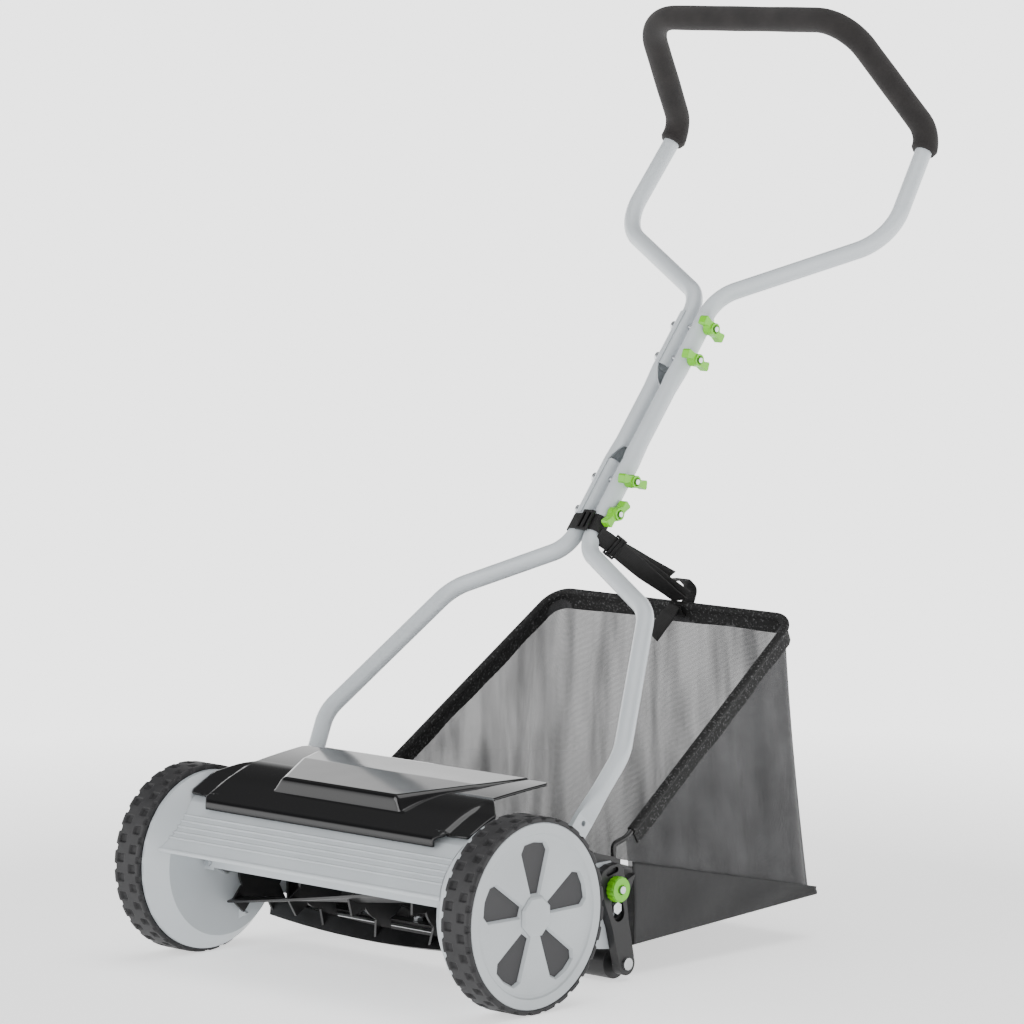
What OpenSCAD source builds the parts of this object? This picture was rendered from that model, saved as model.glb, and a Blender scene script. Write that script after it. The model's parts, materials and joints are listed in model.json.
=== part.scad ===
// Push reel mower with a bolted tube handle, a rear roller and a grass catcher.
// Frame: X across the mower, -Y is the front, Z up, floor at z = 0, wheel axle at y = 0.

/* [Wheels] */
// tyre radius over the lugs
wheel_r = 101.5; // [95:0.5:110]
// axle height above the floor
axle_z = 101.5; // [95:0.5:110]
// inner plane of each wheel from the centre plane
wheel_in = 224; // [222:1:230]
// width of a wheel
wheel_w = 38; // [34:1:42]
// radius of the plastic disc under the tyre
rim_r = 96; // [90:0.5:97]
// lugs round one shoulder of the tyre
lugs = 30; // [24:1:36]

/* [Reel] */
// reel axis behind the wheel axle
reel_y = 44; // [43:0.5:46]
// reel axis above the floor
reel_z = 92; // [90:0.5:94]
// reel radius over the blade edges
reel_r = 58; // [55:0.5:58]
// helical blades round the reel
blades = 5; // [4:1:6]
// blade twist from end to end, degrees
reel_twist = 66; // [40:1:90]
// teeth of the ring gear in each wheel
ring_teeth = 57; // [57:1:57]
// teeth of each pinion
pinion_teeth = 12; // [12:1:12]

/* [Frame] */
// inner face of each side frame from the centre plane
frame_in = 198; // [196:0.5:200]
// side frame radius
frame_r = 96.5; // [94:0.5:97]

/* [Handle] */
// outside diameter of the handle tubes
tube_d = 19; // [18:0.5:20]
// wall of the handle tubes
tube_t = 1.4; // [1:0.1:2]
// distance of each neck tube from the centre plane
neck_x = 12; // [11:0.5:14]
// foam grip diameter
grip_d = 28; // [25:1:30]

/* [Catcher] */
// half width of the catcher at the floor tray
bag_x = 199; // [190:1:202]
// height of the catcher's top bar
bag_top = 350; // [330:1:360]

/* [Roller] */
// rear roller radius
roller_r = 18; // [16:0.5:20]
// distance of the roller axle behind the wheel axle
roller_y = 192; // [188:1:196]

/* [Hidden] */

tr = tube_d / 2;
silver = [0.78, 0.79, 0.8];
black = [0.07, 0.07, 0.075];
grey = [0.74, 0.76, 0.78];
lime = [0.5, 0.85, 0.1];

// handle bends, right-hand side
neck_0 = [neck_x, 343, 426.8];
neck_dir = [0, 0.6294, 0.7771];
low_1 = [144.1, 296.2, 374.1];
low_2 = [218.7, 174.9, 242.7];
low_3 = [204.2, 132.8, 178.3];
end_pin = [204.2, 68, 108];
up_1 = [196.2, 633.9, 756.9];
up_2 = [184.1, 716.5, 868.4];
up_3 = [144.7, 615.8, 995.5];
splice_t = [47, 90, 253, 295];
// bends are this much thicker than the straights, which run this far into them
bend_fat = 0.05;
bend_lap = 0.1;

// roller arm directions: along the arm, downwards
arm_dir = [0, 0.2284, -0.9736];
knob_c = [0, 173.1, 100.3];
pin_c = [0, 178.2, 78.9];
arm_in = frame_in + 3;
arm_out = arm_in + 10;
bar_bolt_y = 112.2;
bar_bolt_z = [58, 76];
knife_y = 96;

module steel() { color(silver) children(); }
module dark() { color(black) children(); }
module light() { color(grey) children(); }
module green() { color(lime) children(); }

// left-hand copy of a right-hand piece
module left() { mirror([1, 0, 0]) children(); }

// lays a drawing made in the XY plane into the YZ plane, growing along +X from x
module yz(x) { translate([x, 0, 0]) rotate([90, 0, 90]) children(); }

module xcyl(x0, x1, y, z, r, f = 48)
    translate([x0, y, z]) rotate([0, 90, 0]) cylinder(h = x1 - x0, r = r, $fn = f);

function unit(v) = v / norm(v);
function flip(v) = [-v[0], v[1], v[2]];
function both(p) = concat(p, [for (i = [len(p) - 1 : -1 : 0]) flip(p[i])]);
function twice(r) = concat(r, [for (i = [len(r) - 1 : -1 : 0]) r[i]]);
function at_neck(t, x = neck_x) = [x, neck_0[1] + t * neck_dir[1], neck_0[2] + t * neck_dir[2]];

// stands children, drawn along +Z, on a with +Z towards b
module aim(a, b) {
    d = unit(b - a);
    translate(a) rotate([0, acos(d[2]), atan2(d[1], d[0])]) children();
}

// distance from a bend's corner to where its arc starts
function trim(p, i, r) =
    (i <= 0 || i >= len(p) - 1) ? 0 :
    r[i] * tan(acos(unit(p[i] - p[i - 1]) * unit(p[i + 1] - p[i])) / 2);

// solid rod of radius q along the corners p with bend radii r; bends are a hair thicker
module rod(p, r, q, f = 40) {
    for (i = [0 : len(p) - 2]) {
        d = unit(p[i + 1] - p[i]);
        a = p[i] + d * (trim(p, i, r) - (i > 0 ? bend_lap : 0));
        b = p[i + 1] - d * (trim(p, i + 1, r) - (i < len(p) - 2 ? bend_lap : 0));
        if (norm(b - a) > 0.05) aim(a, b) cylinder(h = norm(b - a), r = q, $fn = f);
    }
    for (i = [1 : len(p) - 2]) {
        d1 = unit(p[i] - p[i - 1]);
        d2 = unit(p[i + 1] - p[i]);
        ang = acos(d1 * d2);
        n = unit(cross(d1, d2));
        s = p[i] - d1 * trim(p, i, r);
        e1 = -cross(n, d1);
        c = s - e1 * r[i];
        multmatrix([[e1[0], d1[0], n[0], c[0]], [e1[1], d1[1], n[1], c[1]],
            [e1[2], d1[2], n[2], c[2]], [0, 0, 0, 1]])
            rotate_extrude(angle = ang, $fn = 96) translate([r[i], 0])
                circle(r = q + bend_fat, $fn = f);
    }
}

module tube(p, r, q, wall, f = 40)
    difference() {
        rod(p, r, q, f);
        rod(p, r, q - wall, f);
    }

// ---------------------------------------------------------------- wheels

// one lug pocket row, cut into the tread
module pocket_row(x, wid, turn, len_c)
    for (i = [0 : lugs - 1])
        rotate([360 * (i + turn) / lugs, 0, 0])
            translate([x - wid / 2, -len_c / 2, wheel_r - 3]) cube([wid, len_c, 8]);

module tyre_r() {
    mid = wheel_in + wheel_w / 2;
    dark() translate([0, 0, axle_z]) difference() {
        rotate([90, 0, 90]) rotate_extrude($fn = 180) polygon([
            [rim_r, wheel_in], [wheel_r - 1.6, wheel_in], [wheel_r, wheel_in + 2],
            [wheel_r, wheel_in + wheel_w - 2], [wheel_r - 1.6, wheel_in + wheel_w],
            [rim_r, wheel_in + wheel_w]]);
        pocket_row(mid + 9.5, 10, 0, 8.5);
        pocket_row(mid - 9.5, 10, 0.5, 8.5);
        pocket_row(mid + wheel_w / 2, 5, 0.5, 7);
        pocket_row(mid - wheel_w / 2, 5, 0, 7);
    }
}

// window outline: blunt near the hub, a shallow five-sided top near the rim
module window(g)
    polygon([[23 - g, -5.2 - g * 0.6], [66, -18.4 - g], [73.5 + g * 0.5, -14 - g * 0.8],
        [75.5 + g, 0], [73.5 + g * 0.5, 14 + g * 0.8], [66, 18.4 + g],
        [23 - g, 5.2 + g * 0.6]]);

module windows() for (i = [0 : 4]) rotate([0, 0, 90 + 72 * i]) children();

module wheel_disc_r() {
    o = wheel_in + wheel_w;
    light() translate([0, 0, axle_z]) difference() {
        rotate([90, 0, 90]) rotate_extrude($fn = 180) polygon([
            [9.06, wheel_in + 0.6], [16, wheel_in + 0.6], [16, o - 14], [88, o - 14],
            [91, wheel_in + 0.6], [rim_r, wheel_in + 0.6], [rim_r, o - 1],
            [rim_r - 1, o], [85, o], [83.5, o - 1.6], [80, o - 2.2], [20, o - 2.2],
            [18, o - 9], [9.06, o - 9]]);
        rotate([90, 0, 90]) windows() translate([0, 0, o - 8]) linear_extrude(12) window(0);
        rotate([90, 0, 90]) windows() translate([0, 0, o - 5]) hull() {
            linear_extrude(0.01) window(0);
            translate([0, 0, 4]) linear_extrude(0.01) window(3.4);
        }
    }
}

module window_inserts_r()
    color([0.2, 0.2, 0.21]) translate([0, 0, axle_z]) rotate([90, 0, 90]) windows()
        translate([0, 0, wheel_in + wheel_w - 8]) linear_extrude(2.4) window(0);

// faceted boss that closes the hub
module hub_cap_r() {
    o = wheel_in + wheel_w;
    light() translate([0, 0, axle_z]) rotate([90, 0, 90]) difference() {
        union() {
            translate([0, 0, o - 9]) cylinder(h = 7, r = 17.9, $fn = 64);
            hull() {
                translate([0, 0, o - 2.15]) rotate(22.5) cylinder(h = 1.2, r = 22.2, $fn = 8);
                translate([0, 0, o - 2.15]) rotate(22.5) cylinder(h = 3.15, r = 19.6, $fn = 8);
            }
        }
        translate([0, 0, o - 10]) cylinder(h = 7, r = 9.5, $fn = 48);
    }
}

// ---------------------------------------------------------------- gears

gear_m = 2 * norm([reel_y, reel_z - axle_z]) / (ring_teeth - pinion_teeth);
function inv_a(r, rb) = r <= rb ? 0 : (sqrt(r * r / (rb * rb) - 1)) * 180 / PI - acos(rb / r);
// half angle of a tooth at radius r, for z teeth, pitch half angle h
function half_t(r, rp, h) =
    h + inv_a(rp, rp * cos(20)) - inv_a(max(r, rp * cos(20)), rp * cos(20));
function gear_pts(z, rp, ra, rf, h, n = 5) = [
    for (i = [0 : z - 1]) each concat(
        [for (k = [0 : n]) let (r = rf + (ra - rf) * k / n, a = 360 * i / z - half_t(r, rp, h))
            [r * cos(a), r * sin(a)]],
        [for (k = [n : -1 : 0]) let (r = rf + (ra - rf) * k / n, a = 360 * i / z + half_t(r, rp, h))
            [r * cos(a), r * sin(a)]])];
mesh_a = atan2(reel_z - axle_z, reel_y);

module ring_gear_r() {
    rp = gear_m * ring_teeth / 2;
    dark() translate([wheel_in + 2, 0, axle_z]) rotate([90, 0, 90]) difference() {
        cylinder(h = 9, r = 66, $fn = 120);
        translate([0, 0, -1]) rotate(mesh_a) linear_extrude(11)
            polygon(gear_pts(ring_teeth, rp, rp + 2.4, rp - 1.3, 360 / ring_teeth / 4 + 0.42));
    }
    dark() translate([wheel_in + 11, 0, axle_z]) rotate([90, 0, 90]) difference() {
        cylinder(h = wheel_w - 25, r = 66, $fn = 120);
        translate([0, 0, -1]) cylinder(h = wheel_w, r = 61, $fn = 120);
    }
}

module pinion_r() {
    rp = gear_m * pinion_teeth / 2;
    color([0.9, 0.9, 0.88]) translate([wheel_in + 2.5, reel_y, reel_z]) rotate([90, 0, 90])
        difference() {
            rotate(mesh_a) linear_extrude(8) polygon(
                gear_pts(pinion_teeth, rp, rp + 1.7, rp - 2.3, 360 / pinion_teeth / 4 - 1.6));
            translate([0, 0, -1]) cylinder(h = 11, r = 5.05, $fn = 40);
        }
}

// ---------------------------------------------------------------- reel

module reel_shaft()
    steel() union() {
        xcyl(-(wheel_in + 12.5), wheel_in + 12.5, reel_y, reel_z, 5);
        for (s = [-1, 1]) xcyl(s * 190.5 - 3, s * 190.5 + 3, reel_y, reel_z, 9);
    }

module reel_spiders()
    dark() for (x = [-186, -93, 0, 93, 186]) translate([x - 1.5, reel_y, reel_z])
        rotate([90, 0, 90]) difference() {
            linear_extrude(3) union() {
                circle(r = 34, $fn = 64);
                for (i = [0 : blades - 1])
                    rotate(360 * i / blades + 12 - (x + 190) / 380 * reel_twist)
                        translate([43, 0]) square([20, 22], center = true);
            }
            translate([0, 0, -1]) cylinder(h = 5, r = 5, $fn = 40);
        }

module blade_section(i)
    rotate(360 * i / blades) translate([reel_r, 0])
        polygon([[0, 0.2], [-0.4, -2.4], [-17.5, 5.6], [-17.1, 8.2], [-1.4, 1.2]]);

module reel_blades()
    dark() intersection() {
        xcyl(-190, 190, reel_y, reel_z, reel_r, 96);
        translate([-190, reel_y, reel_z]) rotate([90, 0, 90])
            for (i = [0 : blades - 1])
                linear_extrude(380, twist = reel_twist, slices = 12) blade_section(i);
    }

// ---------------------------------------------------------------- side frames

// dished disc between two radii offsets: g grows the dish outwards along X
module dish(g, r_add)
    rotate([90, 0, 90]) rotate_extrude($fn = 144) polygon([
        [0, frame_in + g], [80 + r_add, frame_in + g], [frame_r + r_add, frame_in + 20 + g],
        [frame_r + r_add, frame_in + 40], [0, frame_in + 40]]);

module ear_shape()
    polygon([[40, 140], [62, 62], [160, 37], [175.6, 34.8], [186, 58], [190, 112],
        [178, 128], [146, 128], [96, 150]]);

// axis of the screw that holds the panel's inner flange, drawn towards the front
module panel_screw_at(y) translate([frame_in - 10, y, 105.5]) rotate([90, 0, 0]) children();

module side_frame_r()
    light() difference() {
        union() {
            translate([0, 0, axle_z]) difference() {
                dish(0, 0);
                dish(2.5, -2.2);
                translate([frame_in + 25.5, -200, -200]) cube([40, 400, 400]);
            }
            yz(frame_in) linear_extrude(2.5) ear_shape();
            // folded tab that takes the panel screw
            translate([frame_in - 14, -28.3, 97]) cube([14.1, 2, 14]);
            // triangular boss pressed into the inner face
            hull() {
                yz(frame_in - 0.01) linear_extrude(0.1)
                    polygon([[20, 36], [36, 40], [22, 52]]);
                translate([frame_in - 7, 25, 42]) cube(0.5);
            }
        }
        xcyl(frame_in - 9, frame_in + 9, 0, axle_z, 8);
        xcyl(frame_in - 9, frame_in + 9, reel_y, reel_z, 12);
        xcyl(frame_in - 9, frame_in + 9, end_pin[1], end_pin[2], 4.1);
        xcyl(frame_in - 9, frame_in + 9, knob_c[1], knob_c[2], 4);
        xcyl(frame_in - 9, frame_in + 9, pin_c[1], pin_c[2], 4);
        // notch that the flattened handle end leaves by
        translate([frame_in + 2.5, end_pin[1], end_pin[2]]) rotate([47.3, 0, 0])
            translate([0, -2, -16]) cube([40, 70, 32]);
        // holes for the bed bar bolts and the panel screw
        for (z = bar_bolt_z) xcyl(frame_in - 9, frame_in + 9, bar_bolt_y, z, 3);
        panel_screw_at(-20) cylinder(h = 12, r = 2, $fn = 32);
    }

module stub_axles()
    steel() for (s = [-1, 1]) scale([s, 1, 1]) union() {
        xcyl(frame_in - 4, wheel_in + wheel_w - 10, 0, axle_z, 8, 64);
        xcyl(frame_in - 6, frame_in - 0.2, 0, axle_z, 13, 6);
        xcyl(frame_in + 2.7, wheel_in + 0.2, 0, axle_z, 12, 64);
        xcyl(wheel_in + wheel_w - 10, wheel_in + wheel_w - 4.5, 0, axle_z, 9, 64);
    }

module reel_bearings()
    dark() for (s = [-1, 1]) scale([s, 1, 1]) difference() {
        union() {
            xcyl(frame_in - 3.5, frame_in - 0.1, reel_y, reel_z, 17, 64);
            xcyl(frame_in - 3.5, frame_in + 12, reel_y, reel_z, 12, 64);
        }
        xcyl(frame_in - 9, frame_in + 20, reel_y, reel_z, 5.06, 48);
    }

// ---------------------------------------------------------------- front panel

lip = [-85.5, 124.5];
top = [-45, 172];
pan_u = (top - lip) / norm(top - lip);
pan_n = [-pan_u[1], pan_u[0]];
function on_panel(s, g) = lip + s * (top - lip) + g * pan_n;
rib_s = [0.26, 0.375, 0.49, 0.605, 0.72];

module panel_profile() {
    polygon(concat(
        [on_panel(0, 0)],
        [for (s = rib_s) each [on_panel(s - 0.022, 0), on_panel(s - 0.008, 1.3),
            on_panel(s + 0.008, 1.3), on_panel(s + 0.022, 0)]],
        [on_panel(1, 0), [-28, 184], [-10, 192], [-10, 189.8], [-27, 182.2],
            on_panel(0.98, -2), on_panel(0.06, -2),
            [-30, 112.6], [-28.5, 100.4], [-30.5, 100.4], [-32, 110.8], [-82, 122.6]]));
}

cover_screw_x = [-165, -110, 110, 165];
cover_screw_y = -17;

module front_panel()
    light() difference() {
        union() {
            yz(-214) linear_extrude(428) panel_profile();
            xcyl(-214, 214, lip[0] + 1.6, lip[1] - 0.4, 2.6, 32);
        }
        for (x = cover_screw_x) translate([x, cover_screw_y, 150])
            cylinder(h = 60, r = 2.3, $fn = 32);
        for (s = [0, 1]) mirror([s, 0, 0]) {
            translate([0, 0, axle_z]) dish(-0.25, 0.3);
            translate([frame_in - 5, -60, 90]) cube([60, 60, 24]);
            panel_screw_at(-20) cylinder(h = 20, r = 2.2, $fn = 32);
        }
    }

module panel_screws()
    steel() for (s = [0, 1]) mirror([s, 0, 0]) {
        panel_screw_at(-23.5) cylinder(h = 10, r = 1.96, $fn = 32);
        panel_screw_at(-31.9) cylinder(h = 2.4, r = 4, $fn = 6);
    }

// ---------------------------------------------------------------- top cover

// height of the cover's outer skin over y
function cov(y) = y < -24 ? 176 + 0.5 * (y + 52) :
    y < 30 ? 190 + (y + 24) * 0.5 - (y + 24) * (y + 24) * 0.00345 :
    206.9 + (y - 30) * 0.127 - (y - 30) * (y - 30) * 0.0004;
cov_y = [for (k = [0 : 22]) -52 + k * 158 / 22];

module cover_skin(d, t)
    polygon(concat([for (y = cov_y) [y, cov(y) - d]],
        [for (k = [22 : -1 : 0]) [cov_y[k], cov(cov_y[k]) - d - t]]));

module wedge(g)
    hull() {
        for (s = [-1, 1]) {
            translate([s * (98 - g), -24.5 + g, 184 - g]) cube(0.2, center = true);
            translate([s * (81 - g), -20 + g, 205.5 - g]) cube(0.2, center = true);
            translate([s * (128 - g), 52, 212.6 - g]) cube(0.2, center = true);
            translate([s * (134 - g), 52, 200 - g]) cube(0.2, center = true);
            translate([s * (150 - g), 105.7, 215.2 - g]) cube(0.2, center = true);
            translate([s * (156 - g), 105.7, 206 - g]) cube(0.2, center = true);
        }
    }

module cover_plan()
    polygon([[-166, -52], [166, -52], [174, -46], [175, -38], [203, -42], [206.5, -38],
        [207.5, -2], [176, 27], [181, 103], [177, 106], [-177, 106], [-181, 103], [-176, 27],
        [-207.5, -2], [-206.5, -38], [-203, -42], [-175, -38], [-174, -46]]);

module top_cover()
    dark() intersection() {
        difference() {
            union() {
                translate([-181, 0, 0]) rotate([90, 0, 90]) linear_extrude(362) union() {
                    cover_skin(0, 3);
                    translate([-49.6, 171.6]) polygon([[-2.4, 4.4], [-2.4, -2], [-1.6, -3.2],
                        [0.4, -3.2], [1.2, -1], [3, 4]]);
                }
                for (s = [-1, 1]) translate([s * 191 - 17, 0, 0]) rotate([90, 0, 90])
                    linear_extrude(34) polygon([[-42, 180.6], [-26, 188.4], [-8, 197.4],
                        [10, 204.6], [24, 208.2], [36, 209.4], [36, 206.6], [24, 205.4],
                        [10, 201.8], [-8, 194.6], [-26, 185.6], [-42, 177.8]]);
                wedge(0);
            }
            difference() {
                wedge(3);
                translate([-200, 102.5, 100]) cube([400, 40, 200]);
            }
            // room for the panel's top flange
            yz(-185) linear_extrude(370) polygon([[-34, 150], [-6, 150], [-6, 194.4],
                [-10, 192.8], [-17, 189.8], [-24, 186.5], [-34, 181.5]]);
            for (x = cover_screw_x) translate([x, cover_screw_y, 150])
                cylinder(h = cov(cover_screw_y) - 151, r = 2, $fn = 32);
        }
        translate([0, 0, 150]) linear_extrude(90) cover_plan();
    }

module cover_screws()
    steel() for (x = cover_screw_x)
        translate([x, cover_screw_y, cov(cover_screw_y) - 12]) union() {
            cylinder(h = 10.9, r = 2, $fn = 32);
            cylinder(h = 2.6, r = 4, $fn = 32);
        }

// ---------------------------------------------------------------- bed bar

module bed_bar()
    dark() difference() {
        union() {
            yz(-(frame_in - 0.2)) linear_extrude(2 * frame_in - 0.4)
                polygon([[84.2, 46.2], [118, 46.2], [118, 49.6], [106, 49.6], [106, 84],
                    [103, 84], [103, 49.6], [84.2, 49.6]]);
            for (s = [-1, 1]) translate([s * (frame_in - 1.9) - 1.5, 92, 46.2])
                cube([3, 26, 42]);
        }
        for (s = [-1, 1]) for (z = bar_bolt_z)
            xcyl(s * frame_in - 9, s * frame_in + 9, bar_bolt_y, z, 3);
        for (x = [-150, -75, 0, 75, 150])
            translate([x, knife_y, 40]) cylinder(h = 20, r = 3, $fn = 32);
    }

module bed_knife()
    steel() difference() {
        yz(-190) linear_extrude(380)
            polygon([[80.6, 46.1], [77.9, 44.3], [79.5, 43.2], [102, 43.2], [102, 46.1]]);
        for (x = [-150, -75, 0, 75, 150])
            translate([x, knife_y, 40]) cylinder(h = 20, r = 3, $fn = 32);
    }

module knife_screws()
    steel() for (x = [-150, -75, 0, 75, 150]) translate([x, knife_y, 0]) union() {
        translate([0, 0, 41.2]) cylinder(h = 2, r = 5, $fn = 32);
        translate([0, 0, 42.5]) cylinder(h = 12, r = 2.95, $fn = 32);
        translate([0, 0, 49.7]) cylinder(h = 4, r = 5.5, $fn = 6);
    }

module bed_bar_bolts()
    steel() for (s = [0, 1]) mirror([s, 0, 0]) for (z = bar_bolt_z) union() {
        xcyl(frame_in - 6.4, frame_in + 4, bar_bolt_y, z, 2.95, 32);
        xcyl(frame_in + 2.6, frame_in + 6, bar_bolt_y, z, 5.5, 6);
        xcyl(frame_in - 6.4, frame_in - 3.5, bar_bolt_y, z, 5.5, 6);
    }

// ---------------------------------------------------------------- roller and height adjuster

function arm_at(t, s = 0) = [knob_c[1] + t * arm_dir[1] - s * arm_dir[2],
    knob_c[2] + t * arm_dir[2] + s * arm_dir[1]];
roller_z = roller_r;

module slot2d(t0, t1, r)
    hull() {
        translate(arm_at(t0)) circle(r = r, $fn = 32);
        translate(arm_at(t1)) circle(r = r, $fn = 32);
    }

module arm_outline() {
    polygon([arm_at(-19, -19), arm_at(-24, -13), arm_at(-26, 0), arm_at(-24, 12),
        arm_at(-17, 17.5), arm_at(0, 17.5), arm_at(14, 15.5), arm_at(40, 12.5),
        arm_at(81, 12), arm_at(81, -12), arm_at(40, -13), arm_at(10, -18)]);
    // web that stiffens the rear edge
    polygon([arm_at(-1, 12), arm_at(-4, 34), arm_at(22, 12)]);
}

module roller_arm_r()
    dark() difference() {
        union() {
            yz(arm_in) linear_extrude(arm_out - arm_in) arm_outline();
            xcyl(arm_in, arm_out, roller_y, roller_z, 12.2);
        }
        yz(arm_in - 1) linear_extrude(12) union() {
            slot2d(-8, 29, 4.3);
            translate([roller_y, roller_z]) circle(r = 4.05, $fn = 40);
        }
        yz(arm_out - 5) linear_extrude(6) slot2d(0, 28, 8.4);
        // oval recess under the arched top
        yz(arm_out - 4) linear_extrude(6) hull() {
            translate(arm_at(-19, -6)) circle(r = 3, $fn = 24);
            translate(arm_at(-19, 7)) circle(r = 3, $fn = 24);
        }
    }

module roller_axle()
    steel() union() {
        xcyl(-arm_out, arm_out, roller_y, roller_z, 4);
        for (s = [-1, 1]) xcyl(s > 0 ? arm_out : -arm_out - 2.5,
            s > 0 ? arm_out + 2.5 : -arm_out, roller_y, roller_z, 6.5, 32);
    }

module rear_roller()
    dark() difference() {
        xcyl(-194, 194, roller_y, roller_z, roller_r, 64);
        xcyl(-195, -180, roller_y, roller_z, 4.06);
        xcyl(180, 195, roller_y, roller_z, 4.06);
        xcyl(-181, 181, roller_y, roller_z, roller_r - 3, 64);
    }

module side_bracket_r()
    dark() difference() {
        union() {
            yz(frame_in - 6.2) linear_extrude(6) polygon([[150, 78], [186, 72], [190, 96],
                [196, 126], [186, 131], [156, 139], [150, 120]]);
            translate([frame_in - 8.2, 194, 92]) cylinder(h = 34, r = 7.5, $fn = 48);
        }
        translate([frame_in - 8.2, 194, 100]) cylinder(h = 40, r = 3.7, $fn = 40);
        xcyl(frame_in - 20, frame_in + 9, knob_c[1], knob_c[2], 4);
        xcyl(frame_in - 20, frame_in + 9, pin_c[1], pin_c[2], 4);
    }

module knob_bolts()
    steel() for (s = [0, 1]) mirror([s, 0, 0]) union() {
        xcyl(frame_in - 6.2, arm_out + 12, knob_c[1], knob_c[2], 3.95);
        xcyl(frame_in - 9.2, frame_in - 6.2, knob_c[1], knob_c[2], 7, 6);
    }

module bracket_bolts()
    steel() for (s = [0, 1]) mirror([s, 0, 0]) union() {
        xcyl(frame_in - 6.2, arm_out - 3, pin_c[1], pin_c[2], 3.95);
        xcyl(frame_in - 9.2, frame_in - 6.2, pin_c[1], pin_c[2], 6.6, 6);
        xcyl(arm_out - 4.7, arm_out - 0.5, pin_c[1], pin_c[2], 6.6, 6);
    }

// scalloped hand knob
module height_knob_r()
    green() translate([arm_out + 0.4, knob_c[1], knob_c[2]]) rotate([90, 0, 90]) difference() {
        union() {
            cylinder(h = 8, r = 13.6, $fn = 72);
            translate([0, 0, 8]) cylinder(h = 1.4, r = 12.6, $fn = 72);
        }
        for (i = [0 : 15]) rotate(22.5 * i) translate([14.9, 0, -1])
            cylinder(h = 12, r = 2, $fn = 20);
        translate([0, 0, -1]) cylinder(h = 12, r = 4, $fn = 40);
        translate([0, 0, 7.4]) cylinder(h = 4, r = 5.4, $fn = 40);
    }

// ---------------------------------------------------------------- handle

module splice_holes(list)
    for (t = list) xcyl(-60, 60, at_neck(t)[1], at_neck(t)[2], 3.2, 32);

module flat_end()
    difference() {
        union() {
            hull() {
                aim(low_3 + (low_2 - low_3) * 0.44, low_2)
                    cylinder(h = 2, r = tr - 0.05, $fn = 32);
                translate([low_3[0] - 3, low_3[1], low_3[2]]) rotate([47.3 + 3, 0, 0])
                    translate([0, 0, -12.5]) cube([6, 0.5, 25]);
            }
            hull() {
                xcyl(end_pin[0] - 3, end_pin[0] + 3, end_pin[1], end_pin[2], 12.5, 48);
                translate([low_3[0] - 3, low_3[1], low_3[2]]) rotate([47.3 + 3, 0, 0])
                    translate([0, 0, -12.5]) cube([6, 0.5, 25]);
            }
        }
        xcyl(end_pin[0] - 9, end_pin[0] + 9, end_pin[1], end_pin[2], 4.1, 48);
        xcyl(190, 220, low_3[1] - 4, low_3[2] - 4, 3.1, 48);
    }

module lower_handle_r()
    light() difference() {
        union() {
            tube([at_neck(112), neck_0, low_1, low_2, low_3 + (low_2 - low_3) * 0.44],
                [0, 35, 52, 46, 0], tr, tube_t);
            flat_end();
        }
        splice_holes([47, 90]);
    }

module handle_end_bolts()
    steel() for (s = [0, 1]) mirror([s, 0, 0]) union() {
        xcyl(frame_in - 6, end_pin[0] + 9, end_pin[1], end_pin[2], 4, 40);
        xcyl(frame_in - 6, frame_in - 0.1, end_pin[1], end_pin[2], 7.5, 6);
        xcyl(end_pin[0] + 3.1, end_pin[0] + 8.6, end_pin[1], end_pin[2], 7.5, 6);
    }

// straight tube with cupped ends that hold the neighbouring tubes from outside
module mid_tube_r() {
    cup = tr + 0.1;
    light() difference() {
        translate(at_neck(0)) rotate([acos(neck_dir[2]) * -1, 0, 0]) difference() {
            union() {
                translate([0, 0, 39]) cylinder(h = 74, r = cup + 1.5, $fn = 48);
                translate([0, 0, 113]) cylinder(h = 27, r1 = cup + 1.5, r2 = tr, $fn = 48);
                translate([0, 0, 140]) cylinder(h = 71, r = tr, $fn = 48);
                translate([0, 0, 211]) cylinder(h = 27, r1 = tr, r2 = cup + 1.5, $fn = 48);
                translate([0, 0, 238]) cylinder(h = 72, r = cup + 1.5, $fn = 48);
            }
            translate([0, 0, 30]) cylinder(h = 83, r = cup, $fn = 48);
            translate([0, 0, 113]) cylinder(h = 27, r1 = cup, r2 = tr - tube_t, $fn = 48);
            translate([0, 0, 139]) cylinder(h = 73, r = tr - tube_t, $fn = 48);
            translate([0, 0, 211]) cylinder(h = 27, r1 = tr - tube_t, r2 = cup, $fn = 48);
            translate([0, 0, 238]) cylinder(h = 83, r = cup, $fn = 48);
            // open sides that face the centre plane
            for (s = [0, 1]) translate([0, 0, s * 351]) mirror([0, 0, s])
                rotate([90, 0, 0]) translate([0, 0, -20]) linear_extrude(40)
                    polygon([[-40, 0], [-1.5, 0], [-1.5, 112], [-tr - 1, 139], [-40, 139]]);
        }
        splice_holes(splice_t);
    }
}

module upper_handle()
    light() difference() {
        tube(both([at_neck(240), at_neck(336.8), up_1, up_2, up_3]),
            twice([0, 42, 60, 28, 52]), tr, tube_t);
        splice_holes([253, 295]);
    }

module foam_grip()
    color([0.1, 0.1, 0.1])
        tube(both([up_2 + (up_1 - up_2) * 0.165, up_2, up_3]), twice([0, 28, 52]),
            grip_d / 2, grip_d / 2 - tr - 0.1);

module splice_bolts()
    steel() for (t = splice_t) union() {
        xcyl(-neck_x - tr - 4.6, neck_x + tr + 16, at_neck(t)[1], at_neck(t)[2], 3, 40);
        xcyl(-neck_x - tr - 4.6, -neck_x - tr - 1.9, at_neck(t)[1], at_neck(t)[2], 6, 40);
    }

nut_turn = [35, -14, -26, -37];
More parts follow.
